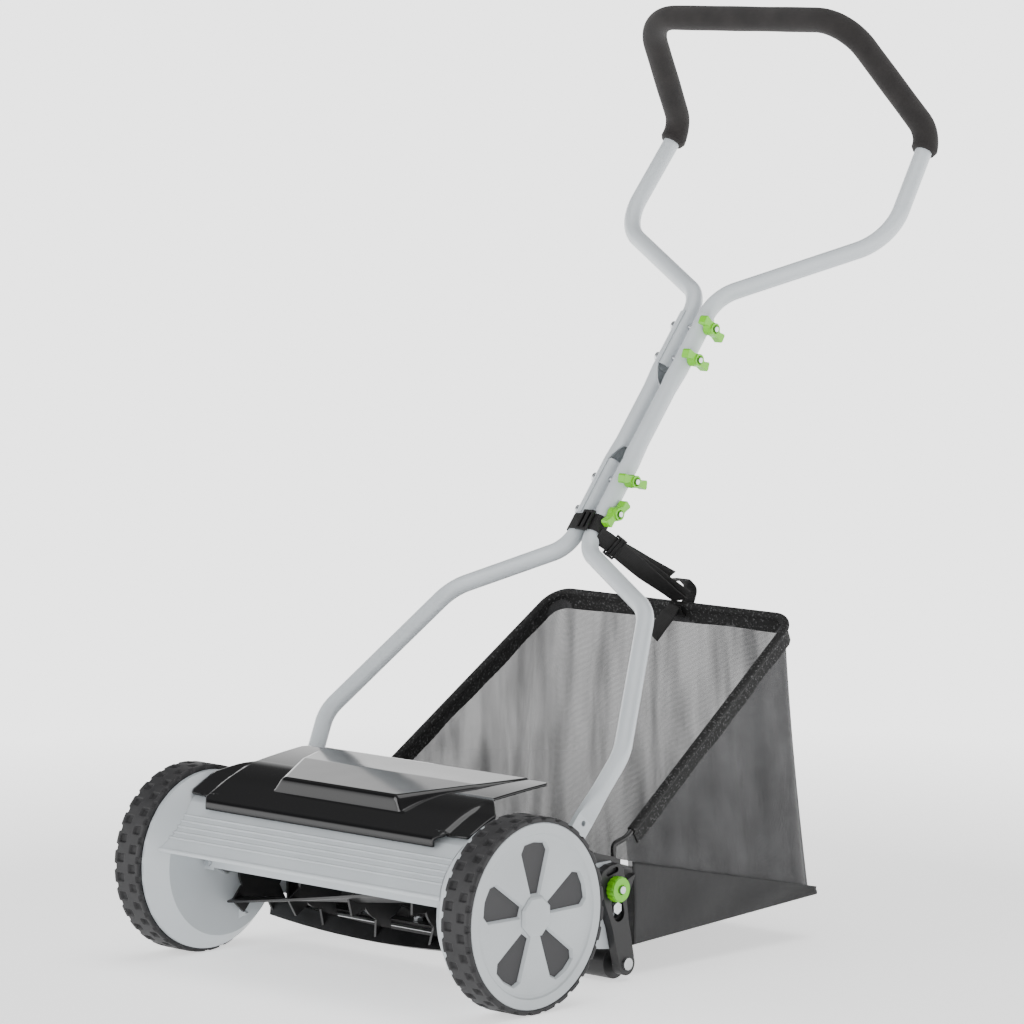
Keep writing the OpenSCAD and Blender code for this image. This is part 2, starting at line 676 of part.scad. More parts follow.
// wing nut: a tapered hub with two swept wings
module wing_nut(i)
    green() translate([neck_x + tr + 1.9, at_neck(splice_t[i])[1], at_neck(splice_t[i])[2]])
        rotate([90, 0, 90]) rotate(nut_turn[i]) difference() {
            union() {
                cylinder(h = 12.5, r = 6.8, $fn = 48);
                linear_extrude(6) circle(r = 7.4, $fn = 48);
                for (s = [0, 1]) rotate(180 * s) translate([0, 0, 1.2]) rotate([0, 0, 8])
                    linear_extrude(9.6) polygon([[3, -6.4], [9, -6], [17, -8.4], [18.6, -6.6],
                        [18.8, 0.5], [17.4, 2], [10, 0.8], [4, 6]]);
            }
            translate([0, 0, -1]) cylinder(h = 16, r = 3.05, $fn = 40);
            translate([0, 0, 9.6]) cylinder(h = 5, r = 4.8, $fn = 40);
        }

// ---------------------------------------------------------------- catcher

hook = [frame_in - 8.2, 194, 104];
rim_0 = [frame_in - 8.2, 194, 142];
rim_1 = [197, 206, 149];
rim_2 = [176, 498, bag_top];

module catcher_frame()
    dark() rod(both([hook, rim_0, rim_1, rim_2]), twice([0, 6, 10, 26]), 3, 24);

module catcher_hem()
    color([0.12, 0.12, 0.12])
        tube(both([rim_1 + (rim_2 - rim_1) * 0.03, rim_2]), twice([0, 26]), 9, 5.9, 24);

// outer body of the bag: g shrinks it, up stretches it through the open mouth
module bag_body(g, up)
    hull() for (s = [-1, 1]) {
        translate([s * (bag_x - g), 215 + g - up * 14, 34 + g]) cube(0.2, center = true);
        translate([s * (bag_x - g), 513 - g, 48 + g]) cube(0.2, center = true);
        translate([s * (bag_x - 2 - g), 214 + g - up * 16, 139 + up * 25]) cube(0.2, center = true);
        translate([s * (bag_x - 22 - g), 500 - g - up * 10, 341 + up * 30]) cube(0.2, center = true);
    }

module bag_shell()
    difference() {
        bag_body(0, 0);
        bag_body(1.6, 1);
    }

module below_line(g)
    yz(-300) linear_extrude(600) polygon([[100, 0], [600, 0], [600, 46 - g], [512, 56 - g],
        [214, 122 - g], [100, 122 - g]]);

module catcher_tray()
    dark() intersection() {
        bag_shell();
        below_line(0);
    }

module catcher_mesh()
    color([0.35, 0.35, 0.35]) difference() {
        bag_shell();
        below_line(0);
        // gap for the strap round the top bar
        translate([-3, 480, 336]) cube([31, 60, 40]);
    }

// ---------------------------------------------------------------- strap

strap_w = 20;

module strap_loop()
    dark() translate(at_neck(0, 0)) rotate([-acos(neck_dir[2]), 0, 0])
        translate([0, 0, 18]) difference() {
            linear_extrude(strap_w) hull() for (s = [-1, 1])
                translate([s * (neck_x + 0.3), 0]) circle(r = tr + 2, $fn = 40);
            translate([0, 0, -1]) linear_extrude(strap_w + 2) hull() for (s = [-1, 1])
                translate([s * (neck_x + 0.3), 0]) circle(r = tr + 0.3, $fn = 40);
        }

run_a = [26, 362.6, 434.6];
run_b = [26, 375, 426.5];
run_c = [14, 486, 366];
run_dir = unit(run_c - run_b);
// way across the strap at the slider
run_w = unit([0.46, 0.54, 0.7] - run_dir * ([0.46, 0.54, 0.7] * run_dir));

// lays children over p: their X across the strap w, their Y along it
module on_strap(p, w) {
    n = unit(cross(w, run_dir));
    d = cross(n, w);
    multmatrix([[w[0], d[0], n[0], p[0]], [w[1], d[1], n[1], p[1]], [w[2], d[2], n[2], p[2]],
        [0, 0, 0, 1]]) children();
}

module strap_run()
    dark() union() {
        hull() {
            on_strap(run_a, run_w) cube([strap_w, 0.4, 1.8], center = true);
            on_strap(run_b, run_w) cube([strap_w, 0.4, 1.8], center = true);
        }
        hull() {
            on_strap(run_b, run_w) cube([strap_w, 0.4, 1.8], center = true);
            on_strap(run_c, [1, 0, 0]) cube([strap_w, 0.4, 3.4], center = true);
        }
    }

// flat two-slot plate on the front of the neck loop
module strap_slider_upper()
    dark() translate(at_neck(28, 5)) rotate([-acos(neck_dir[2]), 0, 0])
        translate([0, -tr - 3.8, 0]) difference() {
            cube([16, 2.8, 25], center = true);
            for (s = [-1, 1]) translate([s * 3.7, 0, 0]) cube([3.4, 10, 19.5], center = true);
        }

module strap_slider_lower()
    dark() on_strap(run_b, run_w) difference() {
        cube([26, 15, 5.4], center = true);
        for (s = [-1, 1]) translate([0, s * 3.6, 0]) cube([20.6, 3.4, 10], center = true);
        cube([20.6, 18, 3.2], center = true);
    }

module strap_end()
    dark() union() {
        translate([2, rim_2[1], rim_2[2]]) rotate([0, 90, 0]) difference() {
            cylinder(h = strap_w, r = 12, $fn = 40);
            translate([0, 0, -1]) cylinder(h = strap_w + 2, r = 9.4, $fn = 40);
        }
        hull() {
            translate([12, 486.6, 348]) cube([strap_w, 1.8, 8], center = true);
            translate([2, 476, 322]) cube([strap_w, 1.8, 1], center = true);
        }
    }

// ---------------------------------------------------------------- nodes

left() side_frame_r();  // side_frame_left
side_frame_r();  // side_frame_right
front_panel();
panel_screws();
top_cover();
cover_screws();
bed_bar();
bed_knife();
knife_screws();
bed_bar_bolts();
stub_axles();
reel_bearings();
left() side_bracket_r();  // side_bracket_left
side_bracket_r();  // side_bracket_right
bracket_bolts();
knob_bolts();
left() lower_handle_r();  // lower_handle_left
lower_handle_r();  // lower_handle_right
handle_end_bolts();
left() mid_tube_r();  // mid_tube_left
mid_tube_r();  // mid_tube_right
upper_handle();
foam_grip();
splice_bolts();
left() wheel_disc_r();  // wheel_disc_left
left() tyre_r();  // tyre_left
left() ring_gear_r();  // ring_gear_left
left() window_inserts_r();  // window_inserts_left
left() hub_cap_r();  // hub_cap_left
wheel_disc_r();  // wheel_disc_right
tyre_r();  // tyre_right
ring_gear_r();  // ring_gear_right
window_inserts_r();  // window_inserts_right
hub_cap_r();  // hub_cap_right
left() pinion_r();  // pinion_left
pinion_r();  // pinion_right
reel_shaft();
reel_spiders();
reel_blades();
left() roller_arm_r();  // roller_arm_left
roller_arm_r();  // roller_arm_right
roller_axle();
rear_roller();
left() height_knob_r();  // height_knob_left
height_knob_r();  // height_knob_right
wing_nut(0);  // wing_nut_1
wing_nut(1);  // wing_nut_2
wing_nut(2);  // wing_nut_3
wing_nut(3);  // wing_nut_4
catcher_frame();
catcher_hem();
catcher_mesh();
catcher_tray();
strap_loop();
strap_slider_upper();
strap_slider_lower();
strap_run();
strap_end();
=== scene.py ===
"""Push reel mower with a foam-grip handle, gloss cover and hooked mesh grass catcher.

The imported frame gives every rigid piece. This file adds the tyres, cover, grip, catcher cloth and
webbing as surfaces, and the finishes of all of them. Lengths are metres; the floor is z = 0, the
wheel axle is y = 0, -Y is the way the mower is pushed.
"""

import json
import math

import bpy
import numpy as np
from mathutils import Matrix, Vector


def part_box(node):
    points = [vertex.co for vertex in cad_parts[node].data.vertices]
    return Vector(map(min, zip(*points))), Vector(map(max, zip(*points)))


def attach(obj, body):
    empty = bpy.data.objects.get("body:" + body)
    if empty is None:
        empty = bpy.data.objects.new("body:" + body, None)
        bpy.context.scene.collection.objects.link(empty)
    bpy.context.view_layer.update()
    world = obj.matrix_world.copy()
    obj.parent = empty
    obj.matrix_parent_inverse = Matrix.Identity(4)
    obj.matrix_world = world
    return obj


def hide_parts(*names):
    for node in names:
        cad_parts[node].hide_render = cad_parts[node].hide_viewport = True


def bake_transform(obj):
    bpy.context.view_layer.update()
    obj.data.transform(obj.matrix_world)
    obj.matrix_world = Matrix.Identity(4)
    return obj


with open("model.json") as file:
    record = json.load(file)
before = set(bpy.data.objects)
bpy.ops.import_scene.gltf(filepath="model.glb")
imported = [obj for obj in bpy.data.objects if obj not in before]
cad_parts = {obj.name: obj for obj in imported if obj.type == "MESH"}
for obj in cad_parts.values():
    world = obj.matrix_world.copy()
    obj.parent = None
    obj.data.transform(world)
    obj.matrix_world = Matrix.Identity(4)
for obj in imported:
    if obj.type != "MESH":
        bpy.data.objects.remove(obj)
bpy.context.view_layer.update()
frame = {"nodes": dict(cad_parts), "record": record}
NODES = frame["nodes"]
MM = 0.001


def corners(node):
    """Lowest and highest corner of a frame node as arrays."""
    low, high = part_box(node)
    return np.array(low), np.array(high)


# ------------------------------------------------------------------ camera


def stand_camera():
    """A long lens far in front of the mower's near corner, above it and tilted a little down."""
    lens = bpy.data.cameras.new("camera")
    lens.lens = 184.52
    lens.sensor_width = 36
    lens.clip_end = 50
    camera = bpy.data.objects.new("camera", lens)
    camera.location = (3.8459, -3.8161, 1.0988)
    camera.rotation_euler = (math.radians(90 - 6.378), 0, math.radians(43.478))
    bpy.context.scene.collection.objects.link(camera)
    bpy.context.scene.camera = camera


# ------------------------------------------------------------------ surfaces


def grid_quads(rows, columns, round_rows, round_columns):
    """Quads of a grid: corner (i, j), (i+1, j), (i+1, j+1), (i, j+1), wrapped where it closes."""
    i = np.arange(rows if round_rows else rows - 1)
    j = np.arange(columns if round_columns else columns - 1)
    i, j = np.meshgrid(i, j, indexing="ij")
    down = (i + 1) % rows
    across = (j + 1) % columns
    quads = [i * columns + j, down * columns + j, down * columns + across, i * columns + across]
    steps = [np.stack(p, -1) for p in ((i, j), (i + 1, j), (i + 1, j + 1), (i, j + 1))]
    return np.stack(quads, -1).reshape(-1, 4), np.stack(steps, 2).reshape(-1, 2)


def surface(name, points, closed=(False, False), lengths=None, caps=False):
    """A grid of points made a smooth quad mesh. lengths holds the metres along rows and columns,
    which become its UV map. caps closes both ends of a tube with one face each."""
    rows, columns = points.shape[:2]
    quads, steps = grid_quads(rows, columns, *closed)
    faces = quads.tolist()
    if caps:
        faces += [list(range(columns))[::-1], [(rows - 1) * columns + k for k in range(columns)]]
    mesh = bpy.data.meshes.new(name)
    mesh.from_pydata(points.reshape(-1, 3).tolist(), [], faces)
    mesh.polygons.foreach_set("use_smooth", np.ones(len(mesh.polygons), bool))
    if lengths is None:
        lengths = (np.arange(rows + 1) * 0.01, np.arange(columns + 1) * 0.01)
    uv = np.zeros((len(mesh.loops), 2), np.float32)
    uv[: len(steps), 0] = lengths[0][steps[:, 0]]
    uv[: len(steps), 1] = lengths[1][steps[:, 1]]
    mesh.uv_layers.new(name="cloth").data.foreach_set("uv", uv.ravel())
    if caps:
        mesh.polygons[-1].use_smooth = mesh.polygons[-2].use_smooth = False
    mesh.update()
    piece = bpy.data.objects.new(name, mesh)
    bpy.context.scene.collection.objects.link(piece)
    return piece


def unit(v):
    """Each row of v, scaled to length 1."""
    return v / np.maximum(np.linalg.norm(v, axis=-1, keepdims=True), 1e-12)


def gone_along(line):
    """Distance gone at each point of a line: the running sum of its steps, from 0."""
    return np.concatenate([[0], np.cumsum(np.linalg.norm(np.diff(line, axis=0), axis=1))])


def route(points, radii, step):
    """Even points along straight runs joined by arcs of the given radii: each corner is cut back by
    radius times the tangent of half its turn, and the arc is swept about its own centre."""
    points = np.array(points, float)
    line = [points[:1]]
    for before, corner, after, radius in zip(points, points[1:], points[2:], radii):
        a, b = unit(corner - before), unit(after - corner)
        turn = math.acos(np.clip(a @ b, -1, 1))
        inward = unit(b - a * (a @ b))
        start = corner - a * radius * math.tan(turn / 2)
        t = np.linspace(0, turn, 24)[:, None]
        line.append(start + radius * (a * np.sin(t) + inward * (1 - np.cos(t))))
    line = np.vstack(line + [points[-1:]])
    gone = gone_along(line)
    even = np.linspace(0, gone[-1], max(int(gone[-1] / step), 3) + 1)
    return np.stack([np.interp(even, gone, line[:, k]) for k in range(3)], 1), even


def carry(path, profile, side, closed=False):
    """A profile of (across, up) pairs carried along a path: point = path + across * side + up * n,
    where side is made square to the path and n is square to both. The profile may change with the
    path: its shape is (profile points, 2) or (path points, profile points, 2)."""
    around_it = np.roll(path, -1, 0) - np.roll(path, 1, 0)
    along = unit(around_it if closed else np.gradient(path, axis=0))
    side = np.broadcast_to(np.array(side, float), path.shape)
    side = unit(side - along * (side * along).sum(1, keepdims=True))
    rise = np.cross(along, side)
    profile = np.broadcast_to(profile, (len(path),) + profile.shape[-2:])
    return path[:, None] + profile[..., :1] * side[:, None] + profile[..., 1:] * rise[:, None]


def ring(radius, count):
    """A circle of count points as a profile."""
    a = np.linspace(0, 2 * math.pi, count, endpoint=False)
    return np.stack([np.cos(a), np.sin(a)], 1) * radius


def around(line):
    """Metres along a closed line, back to its first point."""
    return gone_along(np.vstack([line, line[:1]]))


def smooth_step(x, low, high):
    """0 below low, 1 above high, and the cubic 3t^2 - 2t^3 between."""
    t = np.clip((x - low) / (high - low), 0, 1)
    return t * t * (3 - 2 * t)


def soft_min(a, b, blend):
    """The lower of two heights, rounded over by blend where they cross."""
    h = np.clip(0.5 + 0.5 * (b - a) / blend, 0, 1)
    return b + (a - b) * h - blend * h * (1 - h)


def soft_max(a, b, blend):
    """The higher of two heights, rounded over by blend where they cross."""
    return -soft_min(-a, -b, blend)


# ------------------------------------------------------------------ finishes


class Value:
    """A node's output. Arithmetic on it adds Math nodes."""

    def __init__(self, finish, socket):
        self.finish, self.socket = finish, socket

    def math(self, operation, a, b=0.0):
        return self.finish.node("Math", {0: a, 1: b}, operation=operation)

    def __add__(self, other):
        return self.math("ADD", self, other)

    def __radd__(self, other):
        return self.math("ADD", other, self)

    def __sub__(self, other):
        return self.math("SUBTRACT", self, other)

    def __rsub__(self, other):
        return self.math("SUBTRACT", other, self)

    def __mul__(self, other):
        return self.math("MULTIPLY", self, other)

    def __rmul__(self, other):
        return self.math("MULTIPLY", other, self)

    def __truediv__(self, other):
        return self.math("DIVIDE", self, other)

    def fraction(self):
        return self.math("FRACT", self)

    def sine(self):
        return self.math("SINE", self)

    def size(self):
        return self.math("ABSOLUTE", self)

    def most(self, other):
        return self.math("MAXIMUM", self, other)

    def over(self, low, high):
        """0 below low, 1 above high, a straight line between."""
        ends = {"Value": self, "From Min": low, "From Max": high}
        return self.finish.node("MapRange", ends, clamp=True)


class Tree:
    """A node tree. node() is the way to add any node."""

    def __init__(self, tree):
        self.tree = tree

    def node(self, kind, inputs=None, out=0, stops=None, **settings):
        made = self.tree.nodes.new("ShaderNode" + kind)
        for key, value in settings.items():
            setattr(made, key, value)
        if stops:
            ramp = made.color_ramp.elements
            for element, (at, color) in zip(ramp, stops):
                element.position, element.color = at, tuple(color) + (1,)
        for key, value in (inputs or {}).items():
            self.feed(made.inputs[key], value)
        return Value(self, made.outputs[out])

    def feed(self, socket, value):
        if isinstance(value, Value):
            self.tree.links.new(value.socket, socket)
        else:
            socket.default_value = value

    def split(self, vector):
        """The three parts of a vector."""
        parts = self.node("SeparateXYZ", {0: vector}).socket.node.outputs
        return [Value(self, part) for part in parts]


class Finish(Tree):
    """One material. Fixed numbers go straight on the shader."""

    def __init__(self, name, **fixed):
        self.material = bpy.data.materials.new(name)
        self.material.use_nodes = True
        super().__init__(self.material.node_tree)
        self.shader = self.tree.nodes["Principled BSDF"]
        for socket, value in fixed.items():
            self.shader.inputs[socket.replace("_", " ")].default_value = value
        self.place = self.node("TexCoord", out="Object")
        self.cloth = self.node("TexCoord", out="UV")

    def noise(self, scale, detail=3.0, place=None):
        spots = {"Vector": place or self.place, "Scale": scale, "Detail": detail}
        return self.node("TexNoise", spots)

    def cells(self, scale, place=None):
        return self.node("TexVoronoi", {"Vector": place or self.place, "Scale": scale})

    def tint(self, amount, dark, pale):
        """Colour from dark to pale as amount goes from 0 to 1."""
        ends = {"Factor": amount, 6: tuple(dark) + (1,), 7: tuple(pale) + (1,)}
        return self.node("Mix", ends, out=2, data_type="RGBA")

    def bump(self, height, depth, strength=1.0, under=None):
        ends = {"Height": height, "Distance": depth, "Strength": strength}
        if under:
            ends["Normal"] = under
        return self.node("Bump", ends)

    def soft_edges(self, radius):
        """Normals rounded over a small radius, as a moulded or painted edge is."""
        return self.node("Bevel", {"Radius": radius}, samples=4)

    def set(self, **links):
        for socket, value in links.items():
            self.feed(self.shader.inputs[socket.replace("_", " ")], value)
        return self.material


def shade(color, share):
    """A colour made lighter or darker by a share."""
    return tuple(min(c * share, 1) for c in color)


def painted(name, color, edge=0.0006):
    """Baked satin paint: a fine orange peel, faint mottling and a few pale specks."""
    f = Finish(name, Coat_Weight=0.25, Coat_Roughness=0.22)
    peel = f.noise(520, 2)
    mottle = f.noise(14, 4)
    specks = f.noise(1400, 1).over(0.66, 0.74)
    body = f.tint(mottle.over(0.3, 0.7), shade(color, 0.965), shade(color, 1.03))
    speckled = {"Factor": specks * 0.35, 6: body, 7: shade(color, 1.2) + (1,)}
    return f.set(
        Base_Color=f.node("Mix", speckled, out=2, data_type="RGBA"),
        Roughness=0.34 + mottle * 0.12,
        Normal=f.bump(peel, 0.00012, 0.5, f.soft_edges(edge)),
    )


def moulded(name, color, rough, grain=0.00006, edge=0.0008, **fixed):
    """Moulded plastic: a fine spark-eroded grain, slight flow marks, softly rounded edges."""
    f = Finish(name, **fixed)
    skin = f.noise(1500, 3)
    flow = f.noise(9, 3)
    return f.set(
        Base_Color=f.tint(flow.over(0.3, 0.7), shade(color, 0.92), shade(color, 1.08)),
        Roughness=rough - 0.06 + flow * 0.12,
        Normal=f.bump(skin, grain, 0.6, f.soft_edges(edge)),
    )


def gloss_black():
    """Polished black plastic with faint dust and a slight waviness."""
    f = Finish("gloss_black", IOR=1.46)
    dust = f.noise(900, 2).over(0.68, 0.8)
    wave = f.noise(7, 2)
    return f.set(
        Base_Color=f.tint(dust * 0.3, (0.004, 0.004, 0.0045), (0.04, 0.04, 0.04)),
        Roughness=0.06 + dust * 0.2 + wave * 0.05,
        Normal=f.bump(wave, 0.0012, 0.3),
    )


def steel(name, color, rough, lines=900):
    """Bare or plated steel with fine turning marks and slight clouding."""
    f = Finish(name)
    cloud = f.noise(120, 4)
    marks = f.noise(lines, 4)
    return f.set(
        Base_Color=f.tint(cloud, shade(color, 0.85), shade(color, 1.08)),
        Metallic=0.95 + cloud * 0.05,
        Roughness=rough - 0.05 + cloud * 0.14,
        Normal=f.bump(marks, 0.00004, 0.4, f.soft_edges(0.0004)),
    )


def tread_rubber():
    """Dark moulded rubber with a dull bloom."""
    f = Finish("tread_rubber", Specular_IOR_Level=0.35)
    bloom = f.noise(60, 4)
    skin = f.noise(1100, 3)
    return f.set(
        Base_Color=f.tint(bloom.over(0.3, 0.75), (0.013, 0.013, 0.014), (0.026, 0.0255, 0.027)),
        Roughness=0.5 + bloom * 0.22,
        Normal=f.bump(skin, 0.00012, 0.5),
    )


def foam_skin():
    """Closed-cell foam: tiny open cells, a matte warm black."""
    f = Finish("foam_skin", Specular_IOR_Level=0.2, Sheen_Weight=0.06, Sheen_Roughness=0.6)
    cells = f.cells(900)
    soft = f.noise(35, 4)
    return f.set(
        Base_Color=f.tint(soft.over(0.25, 0.75), (0.0095, 0.0085, 0.0085), (0.020, 0.018, 0.0175)),
        Roughness=0.86 + soft * 0.1,
        Normal=f.bump(cells, 0.0003, 0.6, f.bump(soft, 0.0008, 0.4)),
    )


def weave(f, pitch_u, pitch_v, wide_u, wide_v):
    """Yarns both ways on the cloth map: 1 on a yarn, 0 in a hole, and a height for the bump."""
    u, v, _ = f.split(f.cloth)
    far_u = ((u / pitch_u).fraction() - 0.5).size() * 2
    far_v = ((v / pitch_v).fraction() - 0.5).size() * 2
    yarn_u = 1 - far_u.over(wide_u - 0.12, wide_u + 0.12)
    yarn_v = 1 - far_v.over(wide_v - 0.12, wide_v + 0.12)
    return yarn_u.most(yarn_v), (1 - far_u).most(1 - far_v)


def open_mesh():
    """See-through polyester mesh: black yarns, sheerer between them, with soft upright streaks of
    painted fold shade.
    """
    f = Finish("open_mesh", Roughness=0.6, Specular_IOR_Level=0.35)
    yarn, height = weave(f, 0.0012, 0.0014, 0.5, 0.55)
    uneven = f.noise(25, 4)
    u, v, _ = f.split(f.cloth)
    fold_shade_streaks = f.noise(1.0, 2, f.node("CombineXYZ", {0: u * 34, 1: v * 5}))
    return f.set(
        Base_Color=f.tint(uneven.over(0.3, 0.7), (0.016, 0.016, 0.017), (0.040, 0.040, 0.042)),
        # The upright streaks make the mesh more opaque, so darker: painted shade standing in for
        # the folds and their doubled, edge-on cloth.
        Alpha=0.70 + yarn * 0.2 + fold_shade_streaks.over(0.4, 0.72) * 0.1,
        Normal=f.bump(height, 0.0004, 0.5),
    )


def hem_tape():
    """Two layers of the mesh folded over the wire, nearly closed, with pale glints of yarn painted
    into the colour as painted highlights.
    """
    f = Finish("hem_tape", Specular_IOR_Level=0.3)
    _, height = weave(f, 0.0019, 0.0016, 0.45, 0.5)
    glint_paint = f.noise(420, 4).over(0.56, 0.7)
    return f.set(
        # The pale spots in the colour are painted highlights standing in for glints on the yarn;
        # the same mask also makes the spots glossier.
        Base_Color=f.tint(glint_paint, (0.006, 0.006, 0.006), (0.075, 0.075, 0.077)),
        Roughness=0.75 - glint_paint * 0.2,
        Normal=f.bump(height, 0.0005, 0.7, f.bump(f.noise(220, 3), 0.0006, 0.5)),
    )


def coated_cloth():
    """Black coated cloth of the tray: a fine weave with a dull sheen."""
    f = Finish("coated_cloth", Specular_IOR_Level=0.35)
    _, height = weave(f, 0.0013, 0.0013, 0.5, 0.5)
    uneven = f.noise(30, 4)
    return f.set(
        Base_Color=f.tint(uneven.over(0.3, 0.7), (0.005, 0.005, 0.0055), (0.013, 0.013, 0.014)),
        Roughness=0.42 + uneven * 0.2,
        Normal=f.bump(height, 0.00025, 0.5, f.bump(f.noise(45, 3), 0.002, 0.35)),
    )


def ribbed_webbing():
    """Woven strap: ribs across its width and a faint herringbone of yarns, with painted highlights
    on the rib crests and painted shade in the grooves.
    """
    f = Finish("ribbed_webbing", Specular_IOR_Level=0.3)
    u, v, _ = f.split(f.cloth)
    ribs = (u * (2 * math.pi / 0.0018)).sine()
    yarns = (v * (2 * math.pi / 0.0012) + ribs * 1.5).sine()
    # lit is painted light and shade: the colour is paler on each rib's crest and darker in the
    # grooves between them.
    lit = (ribs * 0.5 + 0.5) * (yarns * 0.2 + 0.8)
    return f.set(
        Base_Color=f.tint(lit, (0.003, 0.003, 0.003), (0.019, 0.0185, 0.0185)),
        Roughness=0.62 + lit * 0.2,
        Normal=f.bump(lit, 0.0004, 0.9),
    )


def pale_floor():
    """A plain pale studio floor with the faintest unevenness, lit a little from beneath, that ends
    softly in the backdrop."""
    f = Finish("pale_floor", Roughness=0.85, Emission_Strength=0.95, Specular_IOR_Level=0.1)
    cloud = f.noise(0.8, 2)
    east, north, _ = f.split(f.place)
    away = f.node("Math", {0: east * east + (north - 0.25) * (north - 0.25)}, operation="SQRT")
    return f.set(
        Base_Color=f.tint(cloud, (0.90, 0.90, 0.90), (0.93, 0.93, 0.93)),
        Emission_Color=f.tint(cloud, (0.97, 0.97, 0.97), (1.0, 1.0, 1.0)),
        Alpha=1 - away.over(0.7, 1.6),
    )


GREY_PAINT = (0.43, 0.46, 0.48)
GREY_PLASTIC = (0.40, 0.425, 0.44)
LIME = (0.135, 0.50, 0.001)


def all_finishes():
    """Every finish by the record's slot name."""
    return {
        "frame_paint": painted("frame_paint", GREY_PAINT),
        "handle_paint": painted("handle_paint", shade(GREY_PAINT, 1.06)),
        "cover_gloss": gloss_black(),
        "bar_paint": painted("bar_paint", (0.005, 0.005, 0.0055)),
        "blade_steel": steel("blade_steel", (0.56, 0.57, 0.58), 0.3),
        "fastener": steel("fastener", (0.62, 0.64, 0.66), 0.28, 500),
        "axle_steel": steel("axle_steel", (0.5, 0.51, 0.52), 0.32),
        "bush_plastic": moulded("bush_plastic", (0.02, 0.02, 0.02), 0.5),
        "arm_plastic": moulded("arm_plastic", (0.008, 0.008, 0.0085), 0.42, 0.00012,
                               Specular_IOR_Level=0.4),
        "disc_plastic": moulded("disc_plastic", GREY_PLASTIC, 0.5, 0.00005, 0.0011),
        "insert_plastic": moulded("insert_plastic", (0.022, 0.022, 0.024), 0.6, 0.0002),
        "tread": tread_rubber(),
        "gear_plastic": moulded("gear_plastic", (0.02, 0.02, 0.022), 0.5),
        "pinion_plastic": moulded("pinion_plastic", (0.72, 0.72, 0.66), 0.45),
        "foam": foam_skin(),
        "lime_plastic": moulded("lime_plastic", LIME, 0.36, 0.00004, 0.0007, Coat_Weight=0.1),
        "wire_coat": moulded("wire_coat", (0.005, 0.005, 0.005), 0.26, 0.00003),
        "hem_cloth": hem_tape(),
        "mesh_cloth": open_mesh(),
        "tray_cloth": coated_cloth(),
        "webbing": ribbed_webbing(),
        "slider_plastic": moulded("slider_plastic", (0.008, 0.008, 0.008), 0.34),
    }


def dress_frame(finishes):
    """Gives each frame node the finish of its slot in the record."""
    for part in frame["record"]["subparts"]:
        mesh = NODES[part["node"]].data
        mesh.materials.clear()
        mesh.materials.append(finishes[part["material_slot"]])


FINISHES = all_finishes()


def settle(piece, body, slot, *nodes):
    """Gives a new piece its finish, its body and the frame nodes that it stands for."""
    piece.data.materials.append(FINISHES[slot])
    if body:
        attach(piece, body)
    if nodes:
        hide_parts(*nodes)
    return piece


def add_modifier(piece, kind, **settings):
    """Adds a live modifier with the given settings."""
    modifier = piece.modifiers.new(kind.lower(), kind)
    for key, value in settings.items():
        setattr(modifier, key, value)


# ------------------------------------------------------------------ light


def soft_box(name, place, aim, size, watts):
    """A square area light at place, turned to face aim."""
    data = bpy.data.lights.new(name, "AREA")
    data.size = size
    data.energy = watts
    lamp = bpy.data.objects.new(name, data)
    lamp.location = place
    away = np.array(place, float) - np.array(aim, float)
    flat = math.hypot(away[0], away[1])
    lamp.rotation_euler = (math.atan2(flat, away[2]), 0, math.atan2(away[1], away[0]) + math.pi / 2)
    bpy.context.scene.collection.objects.link(lamp)


def light_studio():
    """A white sweep that reaches a little above the floor's horizon, dim walls over it and a bright
    ceiling; one large soft box from the left, one above and one from the right."""
    world = bpy.data.worlds.new("studio")
    world.use_nodes = True
    room = Tree(world.node_tree)
    height = room.split(room.node("TexCoord", out="Generated"))[2]
    lit = 3.0 - height.over(0.16, 0.42) * 2.85 + height.over(0.6, 0.95) * 0.4
    paper = world.node_tree.nodes["Background"]
    paper.inputs["Color"].default_value = (1, 1, 1, 1)
    room.feed(paper.inputs["Strength"], lit)
    bpy.context.scene.world = world
    soft_box("left box", (-1.9, -3.4, 2.3), (0, 0.1, 0.3), 2.0, 62)
    soft_box("top box", (0.3, 0.5, 3.2), (0, 0.2, 0.3), 2.4, 48)
    soft_box("right box", (3.9, 0.2, 1.5), (0.1, 0.3, 0.3), 1.6, 14)


# ------------------------------------------------------------------ tyres

LUGS = 30
POCKET_DEPTH = 0.0031
TYRE_RADIUS = 0.1015


def pockets(angle, x, mid, centre, wide, long, turn, round_by=0.0016):
    """Depth from 0 to 1 of one ring of pockets: a rounded box in (x, arc length) repeated round
    the tyre, softened over half a millimetre at its rim."""
    pitch = 2 * math.pi / LUGS
    arc = ((angle / pitch - turn + 0.5) % 1 - 0.5) * pitch * TYRE_RADIUS
    dx = np.abs(x - mid - centre) - wide / 2 + round_by
    dy = np.abs(arc) - long / 2 + round_by
    far = np.hypot(np.maximum(dx, 0), np.maximum(dy, 0)) + np.minimum(np.maximum(dx, dy), 0)
    return 1 - smooth_step(far - round_by, -0.0011, 0.0003)


